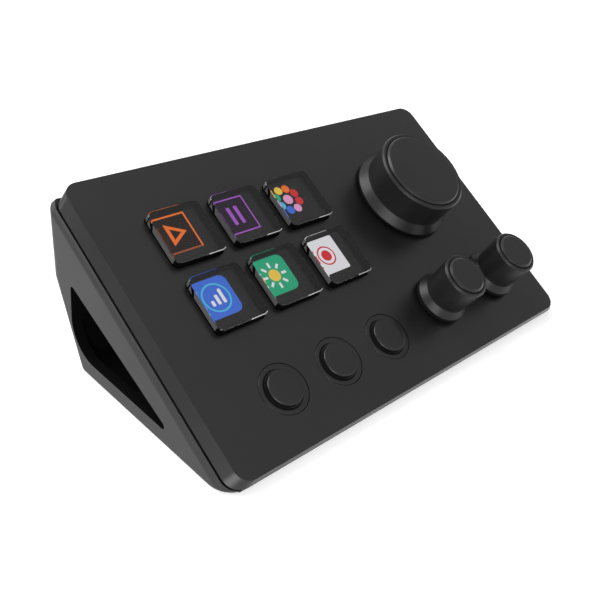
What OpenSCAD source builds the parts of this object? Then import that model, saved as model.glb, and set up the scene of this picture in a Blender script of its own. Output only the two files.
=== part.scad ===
// Macro keypad with six display keys, three round buttons and three knobs.
// Millimetres. X runs along the face, +Y is the rear, +Z is up.

/* [Overall size] */

// width over both side walls
body_w = 122; // [80:1:200]
// length of the sloping face, front edge to rear edge
face_l = 73.4; // [55:0.2:120]
// slope of the face in degrees
tilt = 30; // [15:1:45]
// height of the front edge of the face above the base
nose_h = 2.7; // [2:0.1:10]

/* [Face cover] */

// thickness of the cover
cover_t = 2.0; // [1.4:0.1:4]
// radius of the corners of the flat face
face_corner_r = 3.5; // [1:0.1:10]
// how far the bevel of the cover reaches out at each side
cover_side_bevel = 2.0; // [0.5:0.1:5]
// how far the front edge of the cover reaches out
cover_end_bevel = 0.5; // [0.2:0.1:3]
// height of the dark joint line between cover and housing
joint_h = 0.55; // [0.1:0.05:1]
// depth of the joint line
joint_depth = 1.2; // [0.3:0.1:1.4]
// width of the rib under the cover that locates it in the bay
rib_w = 1.2; // [0.8:0.1:2]
// depth of that rib
rib_h = 1.0; // [0.5:0.1:1.2]
// clearance between the rib and the walls of the bay
rib_clear = 0.1; // [0.05:0.05:0.3]

/* [Housing] */

// how far the side bevel of the housing reaches past the cover
housing_bevel = 1.0; // [0.3:0.1:3]
// height of that bevel
housing_bevel_h = 1.3; // [0.5:0.1:4]
// how far the housing reaches past the cover at the rear
rear_rim = 1.433; // [0.8:0.001:3]
// height of the bevel along that rear edge
rear_rim_h = 1.9; // [1:0.1:4]
// radius of that rear edge
rear_rim_r = 1.0; // [0.5:0.1:2]
// radius of the corners of the body around the face
body_corner_r = 5.0; // [2:0.1:12]
// radius of the upright rear corners
rear_corner_r = 3.2; // [1:0.1:8]
// radius of the nose under the front edge
nose_r = 1.5; // [0.5:0.1:3]
// height of the bend in the rear wall above the base
knee_h = 18.7; // [12:0.1:30]
// distance of the bend from the rearmost edge
knee_in = 1.0; // [0.2:0.1:4]
// lean of the upper rear wall in degrees
upper_lean = 4; // [1:0.5:10]
// lean of the lower rear wall in degrees
rear_lean = 27.5; // [10:0.5:40]
// radius of the bend
knee_r = 4; // [1:0.5:10]
// radius from the rear wall to the base
heel_r = 6; // [2:0.5:12]

/* [Side hollow] */

// thickness of the floor under the hollow
hollow_floor = 3.35; // [2.5:0.05:6]
// distance from the rear wall to the hollow
hollow_rear = 9.4; // [5:0.1:14]
// distance from the rear upper corner of the hollow to the face
hollow_drop = 12.9; // [11:0.1:20]
// place of the front tip as a share of the depth
hollow_tip = 0.324; // [0.2:0.001:0.5]
// radius of the rear lower corner
hollow_r = 8.5; // [2:0.1:12]
// radius of the two pointed corners
hollow_tip_r = 0.8; // [0.3:0.1:2]
// thickness of the web that parts the two hollows in the middle
hollow_web = 3.0; // [2:0.1:10]
// depth of the recess in the floor inside the hollow
recess_d = 1.4; // [0.5:0.1:1.6]
// thickness of the lower rear wall behind the recess inside the hollow
rear_wall = 2.2; // [1.6:0.1:4]
// place where the floor recess begins, as a share of the length of the hollow's floor
recess_start = 0.62; // [0.55:0.01:0.7]
// width of the edge left beside the floor recess
recess_floor_edge = 2.5; // [1:0.1:6]
// width of the edge left beside the rear recess
recess_rear_edge = 5.3; // [2:0.1:10]

/* [Bay for the electronics] */

// depth of the bay under the cover
bay_depth = 5.0; // [4.5:0.1:8]
// depth of the shallow front shelf of the bay under the cover
shelf_depth = 1.5; // [1.3:0.1:3]
// distance from the front edge of the face to the shelf
shelf_front = 5.4; // [4:0.1:10]
// least floor left under the bay
bay_floor = 1.2; // [0.8:0.1:3]
// thickness of the walls beside the bay
bay_wall = 4.0; // [2:0.1:8]
// thickness of the rear wall behind the bay
bay_rear_wall = 2.4; // [1.6:0.1:5]

/* [Display keys] */

// place of the middle of the six keys across the face, as a share
key_place_x = 0.323; // [0.28:0.001:0.36]
// place of the middle of the six keys up the face, as a share
key_place_y = 0.6146; // [0.58:0.001:0.66]
// spacing of the columns
key_pitch_x = 17.2; // [16:0.1:20]
// spacing of the rows
key_pitch_y = 17.5; // [16:0.1:20]
// width of a keycap
key_w = 13.9; // [11:0.1:14.5]
// length of a keycap up the slope
key_d = 13.9; // [11:0.1:14.5]
// radius of the upright corners of a keycap
key_corner_r = 1.3; // [0.5:0.1:3]
// height of a keycap above the face
key_h = 2.0; // [1:0.1:4]
// bevel around the top of a keycap
key_bevel = 0.3; // [0.1:0.05:0.8]
// clearance around a keycap in its window
key_clear = 0.15; // [0.08:0.01:0.3]
// width of the rim that holds a keycap under the cover
key_rim = 0.5; // [0.3:0.1:1]
// thickness of that rim
key_rim_t = 0.55; // [0.4:0.05:1]
// travel of a keycap
key_travel = 0.6; // [0.3:0.1:1]

/* [Round buttons] */

// place of the middle button across the face, as a share
button_place_x = 0.323; // [0.28:0.001:0.36]
// spacing of the buttons
button_pitch = 16.9; // [14:0.1:20]
// distance of the row from the front edge of the face
button_y = 13.3; // [12.8:0.1:20]
// radius of the flush ring of a button
button_r = 5.93; // [4:0.01:7]
// clearance around a button in its hole
button_clear = 0.13; // [0.08:0.01:0.3]
// radius of the raised disc
button_disc_r = 4.25; // [2.5:0.05:5.5]
// height of the raised disc
button_disc_h = 0.95; // [0.4:0.05:2]
// width of the rim that holds a button under the cover
button_rim = 0.5; // [0.3:0.1:1]
// travel of a button
button_travel = 0.5; // [0.3:0.1:0.8]
// side of a switch body
switch_w = 6; // [4:0.5:7]

/* [Large knob] */

// place across the face, as a share
large_place_x = 0.7632; // [0.7:0.001:0.8]
// place up the face, as a share
large_place_y = 0.6295; // [0.58:0.001:0.68]
// radius of the skirt
large_skirt_r = 13.6; // [10:0.1:16]
// radius of the grip
large_grip_r = 12.0; // [8:0.1:14]
// height above the face
large_h = 11.5; // [7:0.1:20]
// height of the edge of the skirt above the face
large_edge_h = 1.4; // [1:0.1:3]
// height of the foot of the grip above the face
large_grip_h = 3.6; // [2:0.1:5]
// width of the rim around the inset cap
large_rim = 0.9; // [0.6:0.05:2]
// width of the bevel around the cap
large_cap_bevel = 0.9; // [0.3:0.1:2]

/* [Small knobs] */

// place of the left one across the face, as a share
left_place_x = 0.6600; // [0.64:0.001:0.7]
// place of the right one across the face, as a share
right_place_x = 0.8520; // [0.82:0.001:0.87]
// distance from the front edge of the face
small_y = 15.7; // [15:0.1:20]
// radius of the skirt
small_skirt_r = 7.0; // [5:0.1:9]
// radius of the grip
small_grip_r = 5.7; // [4:0.1:7]
// height above the face
small_h = 12.1; // [7:0.1:20]
// height of the edge of the skirt above the face
small_edge_h = 1.9; // [1:0.1:3]
// height of the foot of the grip above the face
small_grip_h = 3.6; // [2:0.1:5]
// width of the rim around the inset cap
small_rim = 0.7; // [0.6:0.05:1.2]
// width of the bevel around the cap
small_cap_bevel = 1.0; // [0.3:0.1:1.2]

/* [Knob drive] */

// gap between skirt and face
knob_gap = 0.7; // [0.6:0.05:1.5]
// travel of a knob when it is pressed
knob_travel = 0.5; // [0.3:0.05:0.6]
// widening of a grip towards its top
grip_flare = 0.35; // [0:0.05:1]
// width of the groove around the inset cap
cap_groove = 0.35; // [0.2:0.05:1]
// depth of the groove
cap_groove_d = 0.6; // [0.3:0.1:1.2]
// height that a cap stands above the rim around it
cap_rise = 0.6; // [0.1:0.05:1]
// height of the bevel around the cap
cap_bevel_h = 0.4; // [0.1:0.05:0.8]
// thickness of the inset cap
cap_t = 1.6; // [1:0.1:3]
// radius of the shafts
shaft_r = 2.0; // [1.5:0.1:3]
// running clearance of the shafts
shaft_clear = 0.05; // [0.02:0.01:0.1]
// radius of the bush around a shaft
bush_r = 3.4; // [2.8:0.1:4.5]
// side of an encoder body
encoder_w = 11; // [9:0.5:12]

/* [Boards] */

// thickness of the main board
board_t = 1.0; // [0.8:0.1:1.6]
// height of the lugs under the main board
board_lug_h = 0.4; // [0.3:0.1:1]
// gap between the main board and the walls
board_gap = 0.4; // [0.2:0.1:1]
// thickness of the display
display_t = 1.4; // [1:0.1:2]
// thickness of the key mat
mat_t = 0.9; // [0.5:0.1:1.2]
// gap between a pressed keycap and the mat
mat_gap = 0.15; // [0.05:0.05:0.5]
// radius of the screw shanks
screw_r = 0.9; // [0.7:0.1:1.5]
// radius of the screw heads
screw_head_r = 1.8; // [1.2:0.1:2.5]
// height of the screw heads
screw_head_h = 1.1; // [0.8:0.1:2]

/* [USB inlet] */

// width of the metal shell
usb_w = 8.94; // [8.94:0.01:8.94]
// height of the metal shell
usb_h = 3.26; // [3.26:0.01:3.26]
// length of the metal shell
usb_l = 7.3; // [6:0.1:9]
// wall of the metal shell
usb_wall = 0.3; // [0.2:0.05:0.4]
// clearance around the shell in the rear wall
usb_clear = 0.2; // [0.1:0.05:0.4]
// height of the inlet above the base
usb_z = 24.2; // [20:0.1:32]

/* [Feet] */

// radius of the pads
foot_r = 3.6; // [2:0.1:6]
// how far the pads stand out of the base
foot_proud = 0.6; // [0.3:0.1:2]
// depth of their seats in the base
foot_seat = 0.7; // [0.3:0.1:1.2]
// distance of the pads from the side walls
foot_inset = 11; // [8:0.5:25]
// place of the front pads along the depth, as a share
foot_front = 0.113; // [0.1:0.001:0.2]
// place of the rear pads along the depth, as a share
foot_rear = 0.66; // [0.5:0.01:0.7]

/* [Hidden] */

round_fn = 64;
eps = 0.01;

// face and body outline
side_out = cover_side_bevel + housing_bevel;
face_w = body_w - 2 * side_out;
cover_rear_y = face_l * cos(tilt);
depth = cover_rear_y + rear_rim;
base_z = foot_proud;
front_z = base_z + nose_h;
joint_top = cover_t + joint_h;
// by how much the upright rear end of the cover steps back at its lower edge
rear_step = cover_t * tan(tilt);
rim_step = joint_top * tan(tilt);

// rear wall, heights counted from the front edge of the face
knee_y = depth - knee_in;
knee_z = knee_h - nose_h;
rim_z = cover_rear_y * tan(tilt) - joint_top / cos(tilt);

// bay
bay_low = cover_t + bay_depth;
shelf_low = cover_t + shelf_depth;
bay_x = body_w / 2 - side_out - bay_wall + side_out / 2;
bay_deep_v = (bay_low * cos(tilt) - nose_h + bay_floor) / sin(tilt);
bay_top_z = rim_z - bay_depth;
bay_rear_v = (wall_y(bay_top_z) - bay_rear_wall - bay_low * sin(tilt)) / cos(tilt);

// heights under the face, measured down from it
board_bottom = bay_low - board_lug_h;
board_top = board_bottom - board_t;
key_low = cover_t + key_rim_t + key_travel;
mat_top = key_low + mat_gap;
display_top = mat_top + mat_t;
carrier_h = board_top - display_top - display_t;
plunger_t = 0.6;
shaft_end = board_top - knob_travel - 0.1 - plunger_t;
encoder_top = cover_t + 0.1;
switch_top = cover_t + button_travel + 0.8;

function key_pos(i) = [
    (key_place_x - 0.5) * face_w + (i % 3 - 1) * key_pitch_x,
    key_place_y * face_l + (0.5 - floor(i / 3)) * key_pitch_y];
function button_pos(i) = [
    (button_place_x - 0.5) * face_w + (i - 1) * button_pitch,
    button_y];
large_pos = [(large_place_x - 0.5) * face_w, large_place_y * face_l];
left_pos = [(left_place_x - 0.5) * face_w, small_y];
right_pos = [(right_place_x - 0.5) * face_w, small_y];

// place of the rear wall at a height, and of its inner side below the bend
function wall_y(z) = min(depth, knee_y + (z - knee_z) * tan(upper_lean));
function inner_y(z) = knee_y - (knee_z - z) * tan(rear_lean) - rear_wall / cos(rear_lean);

// frame of the face: X along it, Y up the slope, Z out of it
module on_face() {
    translate([0, -depth / 2, front_z])
        rotate([tilt, 0, 0])
            children();
}

// frame with its origin at the front edge of the face, axes of the room
module at_front() {
    translate([0, -depth / 2, front_z])
        children();
}

module round_rect(w, l, r) {
    union() {
        square([w - 2 * r, l], center = true);
        square([w, l - 2 * r], center = true);
        for (sx = [-1, 1])
            for (sy = [-1, 1])
                translate([sx * (w / 2 - r), sy * (l / 2 - r)])
                    circle(r = r, $fn = round_fn);
    }
}

module soft_rect(w, l, r, fn) {
    hull()
        for (sx = [-1, 1])
            for (sy = [-1, 1])
                translate([sx * (w / 2 - r), sy * (l / 2 - r)])
                    circle(r = r, $fn = fn);
}

// outline of the body seen square to the face, grown at its sides, front and rear
module face_slab(side, front, rear, r, bottom, h) {
    translate([0, (face_l + rear - front) / 2, -bottom])
        linear_extrude(height = h)
            soft_rect(face_w + 2 * side, face_l + front + rear, r, round_fn);
}

module side_shape() {
    heel_z = heel_r - nose_h;
    bend = knee_r / (1 + cos(rear_lean - upper_lean));
    hull() {
        translate([nose_r + 0.4, nose_r - nose_h])
            circle(r = nose_r, $fn = round_fn);
        translate([knee_y - (knee_z - heel_z) * tan(rear_lean) - heel_r / cos(rear_lean), heel_z])
            circle(r = heel_r, $fn = round_fn);
        translate([knee_y - bend * (cos(rear_lean) + cos(upper_lean)),
            knee_z + bend * (sin(rear_lean) + sin(upper_lean))])
            circle(r = knee_r, $fn = round_fn);
        translate([depth - rear_rim_r, rim_z - rear_rim_h])
            circle(r = rear_rim_r, $fn = round_fn);
        translate([0.4, rim_z + 2 * rear_rim_h])
            square([cover_rear_y - 2 * rear_rim - 0.4, 1]);
    }
}

// upright block with two rounded rear edges that lean like the rear wall
module leaning_block(lean) {
    l = depth + 80;
    translate([0, knee_y, knee_z])
        rotate([-lean, 0, 0])
            translate([0, -l / 2, -face_l])
                linear_extrude(height = 2 * face_l)
                    round_rect(body_w, l, rear_corner_r);
}

floor_z = hollow_floor - nose_h;
back_y = depth - hollow_rear;
top_z = back_y * tan(tilt) - hollow_drop / cos(tilt);
arc_z = floor_z + 0.8 * hollow_r;

module hollow_shape() {
    difference() {
        hull() {
            translate([hollow_tip * depth + hollow_tip_r, floor_z + hollow_tip_r])
                circle(r = hollow_tip_r, $fn = 32);
            translate([back_y - hollow_tip_r, top_z - hollow_tip_r])
                circle(r = hollow_tip_r, $fn = 32);
            translate([back_y - 1, floor_z])
                square([1, 1]);
        }
        difference() {
            translate([back_y - hollow_r, floor_z - 1])
                square([hollow_r + 1, hollow_r + 1]);
            translate([back_y - hollow_r, floor_z + hollow_r])
                circle(r = hollow_r, $fn = 96);
        }
    }
}

// recess in the floor and in the curved corner inside the hollow
module floor_recess_shape() {
    start = back_y * recess_start;
    low = floor_z - recess_d;
    polygon([
        [start, floor_z + 0.5],
        [start, low],
        [inner_y(low) - 1, low],
        [inner_y(arc_z), arc_z],
        [back_y - 0.6 * hollow_r, arc_z]]);
}

// deep recess behind the rear edge of the hollow
module rear_recess_shape() {
    high = min(top_z - 1.5 * hollow_tip_r, knee_z);
    polygon([
        [back_y - 2, arc_z - 1],
        [inner_y(arc_z), arc_z],
        [inner_y(high), high],
        [back_y - 2, high]]);
}

module along_x(w) {
    rotate([90, 0, 90])
        translate([0, 0, -w / 2])
            linear_extrude(height = w)
                children();
}

// the hollow of each side with its recesses, parted by the web in the middle
module hollows() {
    at_front()
        difference() {
            union() {
                along_x(body_w + 20)
                    hollow_shape();
                along_x(body_w - 2 * recess_floor_edge)
                    floor_recess_shape();
                along_x(body_w - 2 * recess_rear_edge)
                    rear_recess_shape();
            }
            translate([-hollow_web / 2, -1, floor_z - 5])
                cube([hollow_web, depth, top_z - floor_z + 10]);
        }
}

module housing_body() {
    intersection() {
        at_front()
            along_x(body_w + 10)
                side_shape();
        on_face()
            hull() {
                face_slab(cover_side_bevel, cover_end_bevel, rear_rim - rim_step,
                    face_corner_r + cover_end_bevel, joint_top, eps);
                face_slab(side_out, cover_end_bevel, rear_rim - rim_step + housing_bevel / 2,
                    body_corner_r, face_l, face_l - joint_top - housing_bevel_h);
            }
        at_front()
            leaning_block(upper_lean);
        at_front()
            leaning_block(rear_lean);
    }
}

module housing() {
    color([0.13, 0.13, 0.13])
        difference() {
            union() {
                housing_body();
                housing_land();
            }
            bay_space();
            hollows();
            usb_space();
            foot_seats();
            on_face()
                screw_holes();
        }
}

// raised inner land that carries the cover, the joint line runs around it
module housing_land() {
    on_face()
        face_slab(cover_side_bevel - joint_depth, cover_end_bevel - joint_depth,
            -rear_step - joint_depth, face_corner_r, joint_top + 0.3, joint_h + 0.3);
}

module bay_space() {
    on_face() {
        translate([-bay_x, shelf_front, -shelf_low])
            cube([2 * bay_x, bay_rear_v - shelf_front, shelf_low]);
        difference() {
            translate([-bay_x, bay_deep_v, -bay_low])
                cube([2 * bay_x, bay_rear_v - bay_deep_v, bay_low]);
            board_lugs();
        }
        front_pockets();
    }
}

// room for the switches and encoders where the bay grows shallow towards the front
module front_pockets() {
    switch_half = switch_w / 2 + board_gap / 2;
    encoder_half = encoder_w / 2 + board_gap / 2;
    for (i = [0:2])
        translate([button_pos(i)[0] - switch_half, button_pos(i)[1] - switch_half, -board_top])
            cube([2 * switch_half, 2 * switch_half, board_top]);
    for (p = [left_pos, right_pos])
        translate([p[0] - encoder_half, p[1] - encoder_half, -board_top])
            cube([2 * encoder_half, 2 * encoder_half, board_top]);
}

// lugs on the floor of the bay, one under each screw
module board_lugs() {
    for (p = screw_pos)
        translate([p[0], p[1], -bay_low - 0.5])
            cylinder(r = screw_head_r + 0.4, h = board_lug_h + 0.5, $fn = 32);
}

screw_v1 = bay_deep_v + 5.6;
screw_v2 = bay_rear_v - 4.2;
screw_pos = [
    [-bay_x + 4.2, screw_v1],
    [bay_x - 4.2, screw_v1],
    [-bay_x + 4.2, screw_v2],
    [bay_x - 4.2, screw_v2]];

module screw_holes() {
    for (p = screw_pos)
        translate([p[0], p[1], -bay_low - 1.2])
            cylinder(r = screw_r, h = 3, $fn = 32);
}

module usb_shape(grow) {
    r = usb_h / 2 - 0.35;
    round_rect(usb_w + 2 * grow, usb_h + 2 * grow, r + grow);
}

usb_mid = usb_z - nose_h;
usb_wall_y = wall_y(usb_mid);
usb_board_t = 1.0;
usb_board_l = 11.5;
usb_board_w = 16;

module usb_space() {
    front = usb_wall_y - 1.9 - usb_board_l - 0.5;
    low = usb_mid - usb_h / 2 - usb_board_t;
    at_front() {
        translate([0, usb_wall_y + 1, usb_mid])
            rotate([90, 0, 0])
                linear_extrude(height = 5)
                    usb_shape(usb_clear);
        translate([-usb_board_w / 2 - 0.3, front, low])
            cube([usb_board_w + 0.6, usb_board_l + 0.5, 6]);
    }
}

module foot_seats() {
    for (sx = [-1, 1])
        for (y = [foot_front, foot_rear])
            at_front()
                translate([sx * (body_w / 2 - foot_inset), y * depth, -nose_h - 1])
                    cylinder(r = foot_r, h = foot_seat + 1, $fn = 48);
}

module rubber_feet() {
    color([0.07, 0.07, 0.07])
        for (sx = [-1, 1])
            for (y = [foot_front, foot_rear])
                at_front()
                    translate([sx * (body_w / 2 - foot_inset), y * depth, -nose_h - foot_proud])
                        cylinder(r = foot_r - 0.05, h = foot_seat + foot_proud, $fn = 48);
}

module face_cover() {
    color([0.12, 0.12, 0.12])
        on_face()
            difference() {
                union() {
                    cover_plate();
                    cover_rib();
                }
                for (i = [0:5])
                    translate([key_pos(i)[0], key_pos(i)[1], -cover_t - 1])
                        linear_extrude(height = cover_t + 2)
                            round_rect(key_w + 2 * key_clear, key_d + 2 * key_clear,
                                key_corner_r + key_clear);
                for (i = [0:2])
                    translate([button_pos(i)[0], button_pos(i)[1], -cover_t - 1])
                        cylinder(r = button_r + button_clear, h = cover_t + 2, $fn = round_fn);
                for (p = [large_pos, left_pos, right_pos])
                    translate([p[0], p[1], -cover_t - 1])
                        cylinder(r = bush_r + 0.1, h = cover_t + 2, $fn = 48);
            }
}

module cover_plate() {
    hull() {
        face_slab(0, 0, 0, face_corner_r, eps, eps);
        face_slab(cover_side_bevel, cover_end_bevel, -rear_step,
            face_corner_r + cover_end_bevel, cover_t, eps);
    }
}

module cover_rib() {
    w = 2 * (bay_x - rib_clear);
    low = shelf_front + rib_clear;
    high = bay_rear_v - rib_clear;
    difference() {
        translate([-w / 2, low, -cover_t - rib_h])
            cube([w, high - low, rib_h + 0.5]);
        translate([-w / 2 + rib_w, low - 5, -cover_t - rib_h - 1])
            cube([w - 2 * rib_w, high - low - rib_w + 5, rib_h + 3]);
    }
}

module main_board() {
    color([0.05, 0.22, 0.12])
        on_face()
            difference() {
                translate([-bay_x + board_gap, bay_deep_v + board_gap, -board_bottom])
                    cube([2 * (bay_x - board_gap), bay_rear_v - bay_deep_v - 2 * board_gap,
                        board_t]);
                for (p = screw_pos)
                    translate([p[0], p[1], -board_bottom - 1])
                        cylinder(r = screw_r + 0.05, h = board_t + 2, $fn = 32);
            }
}

module controller_chip() {
    color([0.08, 0.08, 0.08])
        on_face()
            translate([large_pos[0] - 4, large_pos[1] - 22, -board_top])
                cube([8, 8, 1.0]);
}

module board_screws() {
    color([0.7, 0.7, 0.72])
        on_face()
            for (p = screw_pos)
                translate([p[0], p[1], 0]) {
                    translate([0, 0, -bay_low - 1.1])
                        cylinder(r = screw_r - 0.02, h = bay_low + 1.1 - board_top + eps,
                            $fn = 32);
                    difference() {
                        translate([0, 0, -board_top])
                            cylinder(r = screw_head_r, h = screw_head_h, $fn = 32);
                        translate([0, 0, -board_top + screw_head_h - 0.5])
                            for (a = [0, 90])
                                rotate([0, 0, a])
                                    translate([-1.1, -0.22, 0])
                                        cube([2.2, 0.44, 1]);
                    }
                }
}

module display_panel() {
    w = 2 * key_pitch_x + key_w + 2.4;
    l = key_pitch_y + key_d + 2.4;
    color([0.03, 0.03, 0.04])
        on_face()
            translate([key_pos(1)[0] - w / 2, key_pos(1)[1] - key_pitch_y / 2 - l / 2, 0]) {
                translate([0, 0, -display_top - display_t])
                    cube([w, l, display_t]);
                if (carrier_h > eps)
                    translate([2, 2, -board_top])
                        cube([w - 4, l - 4, carrier_h + eps]);
            }
}

module key_mat() {
    w = 2 * key_pitch_x + key_w + 2;
    l = key_pitch_y + key_d + 2;
    color([0.05, 0.05, 0.05])
        on_face()
            difference() {
                translate([key_pos(1)[0] - w / 2, key_pos(1)[1] - key_pitch_y / 2 - l / 2,
                    -display_top])
                    cube([w, l, mat_t]);
                for (i = [0:5])
                    translate([key_pos(i)[0], key_pos(i)[1], -display_top - 1])
                        linear_extrude(height = mat_t + 2)
                            round_rect(key_w - 2.6, key_d - 2.6, 0.8);
            }
}

module keycap(i) {
    color([0.75, 0.78, 0.82])
        on_face()
            translate([key_pos(i)[0], key_pos(i)[1], 0]) {
                hull() {
                    translate([0, 0, -cover_t - eps])
                        linear_extrude(height = cover_t + key_h - key_bevel)
                            soft_rect(key_w, key_d, key_corner_r, 32);
                    translate([0, 0, key_h - eps])
                        linear_extrude(height = eps)
                            soft_rect(key_w - 2 * key_bevel, key_d - 2 * key_bevel,
                                key_corner_r - key_bevel, 32);
                }
                translate([0, 0, -cover_t - key_rim_t])
                    linear_extrude(height = key_rim_t)
                        round_rect(key_w + 2 * key_rim, key_d + 2 * key_rim,
                            key_corner_r + key_rim);
            }
}

module push_button(i) {
    low = cover_t + 0.5;
    color([0.12, 0.12, 0.12])
        on_face()
            translate([button_pos(i)[0], button_pos(i)[1], 0])
                rotate_extrude($fn = 96)
                    polygon([
                        [0, -switch_top - 0.9],
                        [1.5, -switch_top - 0.9],
                        [1.5, -low],
                        [button_r + button_rim, -low],
                        [button_r + button_rim, -cover_t],
                        [button_r, -cover_t],
                        [button_r, -0.12],
                        [button_r - 0.12, 0],
                        [button_disc_r + 0.1, 0],
                        [button_disc_r, 0.1],
                        [button_disc_r - 0.05, button_disc_h - 0.34],
                        [button_disc_r - 0.15, button_disc_h - 0.12],
                        [button_disc_r - 0.38, button_disc_h],
                        [0, button_disc_h]]);
}

module button_switch(i) {
    color([0.2, 0.2, 0.22])
        on_face()
            translate([button_pos(i)[0], button_pos(i)[1], 0])
                difference() {
                    translate([-switch_w / 2, -switch_w / 2, -board_top])
                        cube([switch_w, switch_w, board_top - switch_top]);
                    translate([0, 0, -switch_top - 1.5])
                        cylinder(r = 1.55, h = 3, $fn = 32);
                }
}

module encoder(p) {
    color([0.55, 0.56, 0.58])
        on_face()
            translate([p[0], p[1], 0])
                difference() {
                    union() {
                        translate([-encoder_w / 2, -encoder_w / 2, -board_top])
                            cube([encoder_w, encoder_w, board_top - encoder_top]);
                        translate([0, 0, -encoder_top])
                            cylinder(r = bush_r, h = encoder_top, $fn = 48);
                    }
                    translate([0, 0, -board_top + 0.1])
                        cylinder(r = shaft_r + shaft_clear, h = board_top + 1, $fn = 48);
                }
}

module plunger(p) {
    color([0.8, 0.8, 0.8])
        on_face()
            translate([p[0], p[1], -shaft_end - plunger_t])
                cylinder(r = shaft_r - 0.05, h = plunger_t, $fn = 48);
}

module shaft(p, h) {
    color([0.75, 0.75, 0.77])
        on_face()
            translate([p[0], p[1], -shaft_end])
                difference() {
                    cylinder(r = shaft_r, h = shaft_end + h - cap_t - 1, $fn = 48);
                    translate([-shaft_r, shaft_r * 0.55, shaft_end + 1.4])
                        cube([2 * shaft_r, shaft_r, h]);
                }
}

module knob(p, skirt_r, grip_r, h, edge_h, grip_h, rim) {
    top_r = grip_r + grip_flare;
    seat_r = top_r - rim - cap_groove;
    color([0.12, 0.12, 0.12])
        on_face()
            translate([p[0], p[1], 0])
                difference() {
                    rotate_extrude($fn = 96)
                        polygon([
                            [bush_r + 0.4, knob_gap],
                            [skirt_r - 0.15, knob_gap],
                            [skirt_r, knob_gap + 0.15],
                            [skirt_r, edge_h - 0.1],
                            [skirt_r - 0.1, edge_h],
                            [grip_r + 0.05, grip_h],
                            [grip_r, grip_h + 0.1],
                            [top_r, h - 0.5],
                            [top_r - 0.1, h - 0.22],
                            [top_r - 0.4, h],
                            [top_r - rim + 0.08, h],
                            [top_r - rim, h - 0.08],
                            [top_r - rim, h - cap_groove_d],
                            [seat_r, h - cap_groove_d],
                            [seat_r, h - cap_t],
                            [0, h - cap_t],
                            [0, 1.4],
                            [bush_r + 0.4, 1.4]]);
                    shaft_socket(h);
                }
}

// D-shaped socket for the shaft
module shaft_socket(h) {
    difference() {
        translate([0, 0, -1])
            cylinder(r = shaft_r, h = h - cap_t, $fn = 48);
        translate([-shaft_r, shaft_r * 0.55, 1.4])
            cube([2 * shaft_r, shaft_r, h]);
    }
}

module knob_cap(p, grip_r, h, rim, bevel) {
    seat_r = grip_r + grip_flare - rim - cap_groove;
    top = h + cap_rise;
    color([0.12, 0.12, 0.12])
        on_face()
            translate([p[0], p[1], 0])
                rotate_extrude($fn = 96)
                    polygon([
                        [0, h - cap_t],
                        [seat_r, h - cap_t],
                        [seat_r, top - cap_bevel_h],
                        [seat_r - 0.3 * bevel, top - 0.42 * cap_bevel_h],
                        [seat_r - 0.65 * bevel, top - 0.12 * cap_bevel_h],
                        [seat_r - bevel, top],
                        [0, top]]);
}

module large_knob() {
    knob(large_pos, large_skirt_r, large_grip_r, large_h, large_edge_h, large_grip_h, large_rim);
}

module large_knob_cap() {
    knob_cap(large_pos, large_grip_r, large_h, large_rim, large_cap_bevel);
}

module small_knob(p) {
    knob(p, small_skirt_r, small_grip_r, small_h, small_edge_h, small_grip_h, small_rim);
}

module small_knob_cap(p) {
    knob_cap(p, small_grip_r, small_h, small_rim, small_cap_bevel);
}

module usb_board() {
    low = usb_mid - usb_h / 2 - usb_board_t;
    color([0.05, 0.22, 0.12])
        at_front()
            translate([-usb_board_w / 2, usb_wall_y - 2.1 - usb_board_l, low])
                cube([usb_board_w, usb_board_l, usb_board_t]);
}

module usb_socket() {
    color([0.72, 0.72, 0.74])
        at_front()
            translate([0, usb_wall_y - 0.3, usb_mid])
                rotate([90, 0, 0])
                    difference() {
                        linear_extrude(height = usb_l)
                            usb_shape(0);
                        translate([0, 0, -1])
                            linear_extrude(height = usb_l - usb_wall + 1)
                                usb_shape(-usb_wall);
                    }
}

module usb_tongue() {
    color([0.1, 0.1, 0.1])
        at_front()
            translate([-3.35, usb_wall_y - 0.3 - usb_l + usb_wall, usb_mid - 0.35])
                cube([6.7, usb_l - usb_wall - 1.2, 0.7]);
}

housing();
face_cover();
main_board();
controller_chip();
display_panel();
key_mat();
keycap(0);  // display_key_1
keycap(1);  // display_key_2
keycap(2);  // display_key_3
keycap(3);  // display_key_4
keycap(4);  // display_key_5
keycap(5);  // display_key_6
push_button(0);  // push_button_1
push_button(1);  // push_button_2
push_button(2);  // push_button_3
button_switch(0);  // button_switch_1
button_switch(1);  // button_switch_2
button_switch(2);  // button_switch_3
encoder(large_pos);  // large_encoder
plunger(large_pos);  // large_plunger
shaft(large_pos, large_h);  // large_shaft
large_knob();
large_knob_cap();
encoder(left_pos);  // left_encoder
plunger(left_pos);  // left_plunger
shaft(left_pos, small_h);  // left_shaft
small_knob(left_pos);  // left_knob
small_knob_cap(left_pos);  // left_knob_cap
encoder(right_pos);  // right_encoder
plunger(right_pos);  // right_plunger
shaft(right_pos, small_h);  // right_shaft
small_knob(right_pos);  // right_knob
small_knob_cap(right_pos);  // right_knob_cap
usb_board();
usb_socket();
usb_tongue();
board_screws();
rubber_feet();
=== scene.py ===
"""Looks of the macro keypad: clear keys over lit pictures, round buttons and turning knobs.

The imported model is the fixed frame. Lengths are written in millimetres in the frame of the
sloping face (X along it, V up the slope, N out of it) and turned into metres when a mesh is made.
"""
import math

import bmesh
import bpy
from mathutils import Matrix, Vector


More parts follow.
